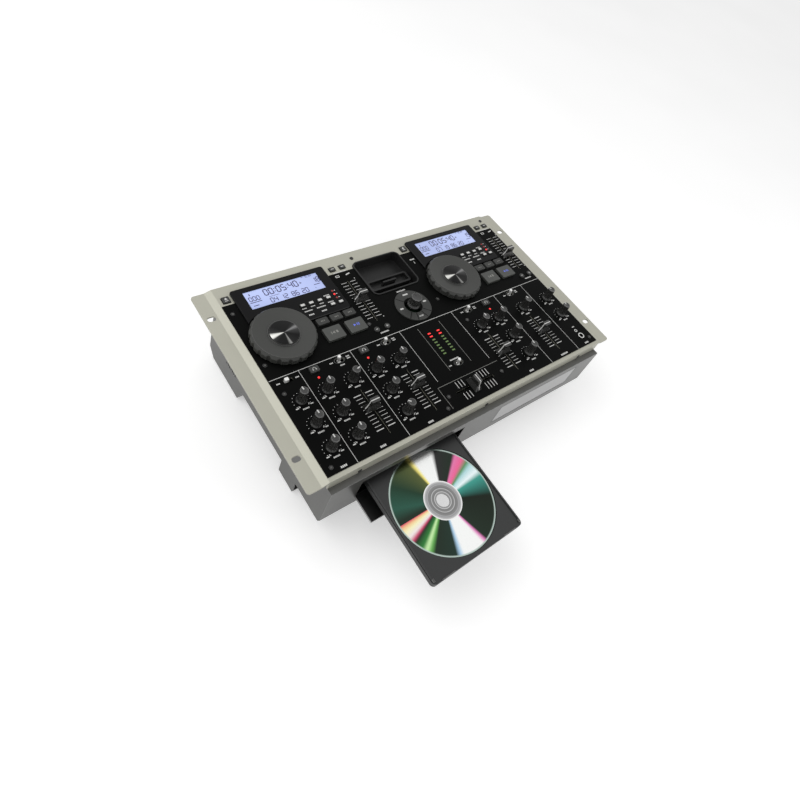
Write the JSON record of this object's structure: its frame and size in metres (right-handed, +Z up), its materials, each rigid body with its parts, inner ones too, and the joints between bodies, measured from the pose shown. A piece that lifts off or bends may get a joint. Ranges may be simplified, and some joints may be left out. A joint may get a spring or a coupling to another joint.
{
  "type": "twin disc player and mixer console",
  "caption": "Rack-mount twin disc player with jog wheels, displays, slide-out trays, a dock and a mixer with knobs, faders and toggle switches.",
  "frame": {"origin": "centre of the pattern of rack slots, in the top face of the ears", "axes": "+X to the operator's right, +Y to the back, +Z up"},
  "size_m": [0.4826, 0.393, 0.1244],
  "materials": {
    "silver": "satin",
    "grey_steel": "satin",
    "rubber": "matt",
    "black_plate": "satin",
    "black_gloss": "gloss",
    "pane": "gloss",
    "lamp": "gloss",
    "black_steel": "satin",
    "board": "matt",
    "black_plastic": "matt",
    "socket_metal": "polished",
    "disc": "mirror",
    "door": "satin",
    "tray": "satin",
    "jog": "satin",
    "knob": "satin",
    "chrome": "polished",
    "key": "satin",
    "rubber_key": "matt"
  },
  "bodies": {
    "console": {"top_panel": "silver", "overlay_plate": "black_plate", "housing": "grey_steel", "feet": "rubber", "display_frames": "black_gloss", "display_panes": "pane", "indicator_lamps": "lamp", "screws": "black_steel", "circuit_board": "board", "drive_frames": "black_plastic", "dock_well": "black_plastic", "dock_adapter": "black_plastic", "sockets": "socket_metal"},
    "browse_ring": {"browse_ring": "rubber_key"},
    "crossfader": {"crossfader": "knob"},
    "disc": {"disc": "disc"},
    "door_left": {"door_left": "door"},
    "door_right": {"door_right": "door"},
    "fader_aux": {"fader_aux": "knob"},
    "fader_left": {"fader_left": "knob"},
    "fader_master": {"fader_master": "knob"},
    "fader_right": {"fader_right": "knob"},
    "jog_wheel_left": {"jog_wheel_left": "jog"},
    "jog_wheel_right": {"jog_wheel_right": "jog"},
    "key_cue_left": {"key_cue_left": "key"},
    "key_cue_right": {"key_cue_right": "key"},
    "key_play_left": {"key_play_left": "key"},
    "key_play_right": {"key_play_right": "key"},
    "keys_monitor": {"keys_monitor": "rubber_key"},
    "keys_small_left": {"keys_small_left": "rubber_key"},
    "keys_small_right": {"keys_small_right": "rubber_key"},
    "knob_aux_bass": {"knob_aux_bass": "knob"},
    "knob_aux_gain": {"knob_aux_gain": "knob"},
    "knob_aux_mid": {"knob_aux_mid": "knob"},
    "knob_aux_treble": {"knob_aux_treble": "knob"},
    "knob_browse": {"knob_browse": "knob"},
    "knob_left_bass": {"knob_left_bass": "knob"},
    "knob_left_gain": {"knob_left_gain": "knob"},
    "knob_left_mid": {"knob_left_mid": "knob"},
    "knob_left_treble": {"knob_left_treble": "knob"},
    "knob_master_balance": {"knob_master_balance": "knob"},
    "knob_mic_bass": {"knob_mic_bass": "knob"},
    "knob_mic_level": {"knob_mic_level": "knob"},
    "knob_mic_treble": {"knob_mic_treble": "knob"},
    "knob_phones_level": {"knob_phones_level": "knob"},
    "knob_phones_mix": {"knob_phones_mix": "knob"},
    "knob_right_bass": {"knob_right_bass": "knob"},
    "knob_right_gain": {"knob_right_gain": "knob"},
    "knob_right_mid": {"knob_right_mid": "knob"},
    "knob_right_treble": {"knob_right_treble": "knob"},
    "pitch_fader_left": {"pitch_fader_left": "knob"},
    "pitch_fader_right": {"pitch_fader_right": "knob"},
    "switch_mic": {"switch_mic": "chrome"},
    "toggle_aux": {"toggle_aux": "chrome"},
    "toggle_crossfade": {"toggle_crossfade": "chrome"},
    "toggle_left": {"toggle_left": "chrome"},
    "toggle_master": {"toggle_master": "chrome"},
    "toggle_right": {"toggle_right": "chrome"},
    "tray_left": {"tray_left": "tray"},
    "tray_right": {"tray_right": "tray"}
  },
  "joints": [
    {"name": "tray_left_slide", "type": "slide", "parent": "console", "child": "tray_left", "axis": [0, 1, 0], "range_m": [0, 0.127]},
    {"name": "tray_right_slide", "type": "slide", "parent": "console", "child": "tray_right", "axis": [0, -1, 0], "range_m": [0, 0.0035]},
    {"name": "disc_lift", "type": "slide", "parent": "tray_left", "child": "disc", "axis": [0, 0, 1], "range_m": [0, 0.01]},
    {"name": "door_right_hinge", "type": "hinge", "parent": "console", "child": "door_right", "pos_m": [0.104, -0.13895, -0.055], "axis": [1, 0, 0], "range_deg": [0, 90]},
    {"name": "door_left_hinge", "type": "hinge", "parent": "console", "child": "door_left", "pos_m": [-0.104, -0.13895, -0.055], "axis": [1, 0, 0], "range_deg": [-6, 0]},
    {"name": "jog_left_turn", "type": "hinge", "parent": "console", "child": "jog_wheel_left", "pos_m": [-0.175, 0.039, 0.0038], "axis": [0, 0, 1], "continuous": true},
    {"name": "jog_right_turn", "type": "hinge", "parent": "console", "child": "jog_wheel_right", "pos_m": [0.085, 0.039, 0.0038], "axis": [0, 0, 1], "continuous": true},
    {"name": "knob_mic_level_turn", "type": "hinge", "parent": "console", "child": "knob_mic_level", "pos_m": [-0.1968, -0.0408, 0.0038], "axis": [0, 0, 1], "range_deg": [-150, 150]},
    {"name": "knob_mic_treble_turn", "type": "hinge", "parent": "console", "child": "knob_mic_treble", "pos_m": [-0.1968, -0.0714, 0.0038], "axis": [0, 0, 1], "range_deg": [-150, 150]},
    {"name": "knob_mic_bass_turn", "type": "hinge", "parent": "console", "child": "knob_mic_bass", "pos_m": [-0.1968, -0.102, 0.0038], "axis": [0, 0, 1], "range_deg": [-150, 150]},
    {"name": "knob_aux_treble_turn", "type": "hinge", "parent": "console", "child": "knob_aux_treble", "pos_m": [-0.1648, -0.0408, 0.0038], "axis": [0, 0, 1], "range_deg": [-150, 150]},
    {"name": "knob_aux_mid_turn", "type": "hinge", "parent": "console", "child": "knob_aux_mid", "pos_m": [-0.1648, -0.0714, 0.0038], "axis": [0, 0, 1], "range_deg": [-150, 150]},
    {"name": "knob_aux_bass_turn", "type": "hinge", "parent": "console", "child": "knob_aux_bass", "pos_m": [-0.1648, -0.102, 0.0038], "axis": [0, 0, 1], "range_deg": [-150, 150]},
    {"name": "knob_aux_gain_turn", "type": "hinge", "parent": "console", "child": "knob_aux_gain", "pos_m": [-0.1315, -0.0408, 0.0038], "axis": [0, 0, 1], "range_deg": [-150, 150]},
    {"name": "knob_left_treble_turn", "type": "hinge", "parent": "console", "child": "knob_left_treble", "pos_m": [-0.0985, -0.0408, 0.0038], "axis": [0, 0, 1], "range_deg": [-150, 150]},
    {"name": "knob_left_mid_turn", "type": "hinge", "parent": "console", "child": "knob_left_mid", "pos_m": [-0.0985, -0.0714, 0.0038], "axis": [0, 0, 1], "range_deg": [-150, 150]},
    {"name": "knob_left_bass_turn", "type": "hinge", "parent": "console", "child": "knob_left_bass", "pos_m": [-0.0985, -0.102, 0.0038], "axis": [0, 0, 1], "range_deg": [-150, 150]},
    {"name": "knob_left_gain_turn", "type": "hinge", "parent": "console", "child": "knob_left_gain", "pos_m": [-0.0658, -0.0408, 0.0038], "axis": [0, 0, 1], "range_deg": [-150, 150]},
    {"name": "knob_right_gain_turn", "type": "hinge", "parent": "console", "child": "knob_right_gain", "pos_m": [0.07, -0.0408, 0.0038], "axis": [0, 0, 1], "range_deg": [-150, 150]},
    {"name": "knob_right_treble_turn", "type": "hinge", "parent": "console", "child": "knob_right_treble", "pos_m": [0.1023, -0.0408, 0.0038], "axis": [0, 0, 1], "range_deg": [-150, 150]},
    {"name": "knob_right_mid_turn", "type": "hinge", "parent": "console", "child": "knob_right_mid", "pos_m": [0.1023, -0.0714, 0.0038], "axis": [0, 0, 1], "range_deg": [-150, 150]},
    {"name": "knob_right_bass_turn", "type": "hinge", "parent": "console", "child": "knob_right_bass", "pos_m": [0.1023, -0.102, 0.0038], "axis": [0, 0, 1], "range_deg": [-150, 150]},
    {"name": "knob_master_balance_turn", "type": "hinge", "parent": "console", "child": "knob_master_balance", "pos_m": [0.151, -0.0408, 0.0038], "axis": [0, 0, 1], "range_deg": [-150, 150]},
    {"name": "knob_phones_mix_turn", "type": "hinge", "parent": "console", "child": "knob_phones_mix", "pos_m": [0.1995, -0.0408, 0.0038], "axis": [0, 0, 1], "range_deg": [-150, 150]},
    {"name": "knob_phones_level_turn", "type": "hinge", "parent": "console", "child": "knob_phones_level", "pos_m": [0.1995, -0.0714, 0.0038], "axis": [0, 0, 1], "range_deg": [-150, 150]},
    {"name": "knob_browse_turn", "type": "hinge", "parent": "console", "child": "knob_browse", "pos_m": [0.0018, 0.0215, 0.0038], "axis": [0, 0, 1], "continuous": true},
    {"name": "fader_aux_slide", "type": "slide", "parent": "console", "child": "fader_aux", "axis": [0, 1, 0], "range_m": [-0.0325, 0.0215]},
    {"name": "fader_left_slide", "type": "slide", "parent": "console", "child": "fader_left", "axis": [0, 1, 0], "range_m": [-0.035, 0.019]},
    {"name": "fader_right_slide", "type": "slide", "parent": "console", "child": "fader_right", "axis": [0, 1, 0], "range_m": [-0.0275, 0.0265]},
    {"name": "fader_master_slide", "type": "slide", "parent": "console", "child": "fader_master", "axis": [0, 1, 0], "range_m": [-0.031, 0.023]},
    {"name": "pitch_fader_left_slide", "type": "slide", "parent": "console", "child": "pitch_fader_left", "axis": [0, 1, 0], "range_m": [-0.034, 0.029]},
    {"name": "pitch_fader_right_slide", "type": "slide", "parent": "console", "child": "pitch_fader_right", "axis": [0, 1, 0], "range_m": [-0.0275, 0.0355]},
    {"name": "crossfader_slide", "type": "slide", "parent": "console", "child": "crossfader", "axis": [1, 0, 0], "range_m": [-0.0235, 0.0315]},
    {"name": "toggle_aux_swing", "type": "hinge", "parent": "console", "child": "toggle_aux", "pos_m": [-0.1315, -0.0128, 0.0008], "axis": [0, 1, 0], "range_deg": [0, 24]},
    {"name": "toggle_left_swing", "type": "hinge", "parent": "console", "child": "toggle_left", "pos_m": [-0.0658, -0.0128, 0.0008], "axis": [0, 1, 0], "range_deg": [0, 24]},
    {"name": "toggle_right_swing", "type": "hinge", "parent": "console", "child": "toggle_right", "pos_m": [0.07, -0.0128, 0.0008], "axis": [0, 1, 0], "range_deg": [0, 24]},
    {"name": "toggle_master_swing", "type": "hinge", "parent": "console", "child": "toggle_master", "pos_m": [0.151, -0.0128, 0.0008], "axis": [0, 1, 0], "range_deg": [0, 24]},
    {"name": "toggle_crossfade_swing", "type": "hinge", "parent": "console", "child": "toggle_crossfade", "pos_m": [0.0018, -0.0745, 0.0008], "axis": [0, 1, 0], "range_deg": [0, 24]},
    {"name": "switch_mic_slide", "type": "slide", "parent": "console", "child": "switch_mic", "axis": [1, 0, 0], "range_m": [0, 0.0052]},
    {"name": "browse_ring_press", "type": "slide", "parent": "console", "child": "browse_ring", "axis": [0, 0, -1], "range_m": [0, 0.0012], "stiffness_N_per_m": 500, "springref_m": -0.002},
    {"name": "key_cue_left_press", "type": "slide", "parent": "console", "child": "key_cue_left", "axis": [0, 0, -1], "range_m": [0, 0.0012], "stiffness_N_per_m": 500, "springref_m": -0.002},
    {"name": "key_cue_right_press", "type": "slide", "parent": "console", "child": "key_cue_right", "axis": [0, 0, -1], "range_m": [0, 0.0012], "stiffness_N_per_m": 500, "springref_m": -0.002},
    {"name": "key_play_left_press", "type": "slide", "parent": "console", "child": "key_play_left", "axis": [0, 0, -1], "range_m": [0, 0.0012], "stiffness_N_per_m": 500, "springref_m": -0.002},
    {"name": "key_play_right_press", "type": "slide", "parent": "console", "child": "key_play_right", "axis": [0, 0, -1], "range_m": [0, 0.0012], "stiffness_N_per_m": 500, "springref_m": -0.002},
    {"name": "keys_monitor_press", "type": "slide", "parent": "console", "child": "keys_monitor", "axis": [0, 0, -1], "range_m": [0, 0.0012], "stiffness_N_per_m": 500, "springref_m": -0.002},
    {"name": "keys_small_left_press", "type": "slide", "parent": "console", "child": "keys_small_left", "axis": [0, 0, -1], "range_m": [0, 0.0012], "stiffness_N_per_m": 500, "springref_m": -0.002},
    {"name": "keys_small_right_press", "type": "slide", "parent": "console", "child": "keys_small_right", "axis": [0, 0, -1], "range_m": [0, 0.0012], "stiffness_N_per_m": 500, "springref_m": -0.002}
  ]
}
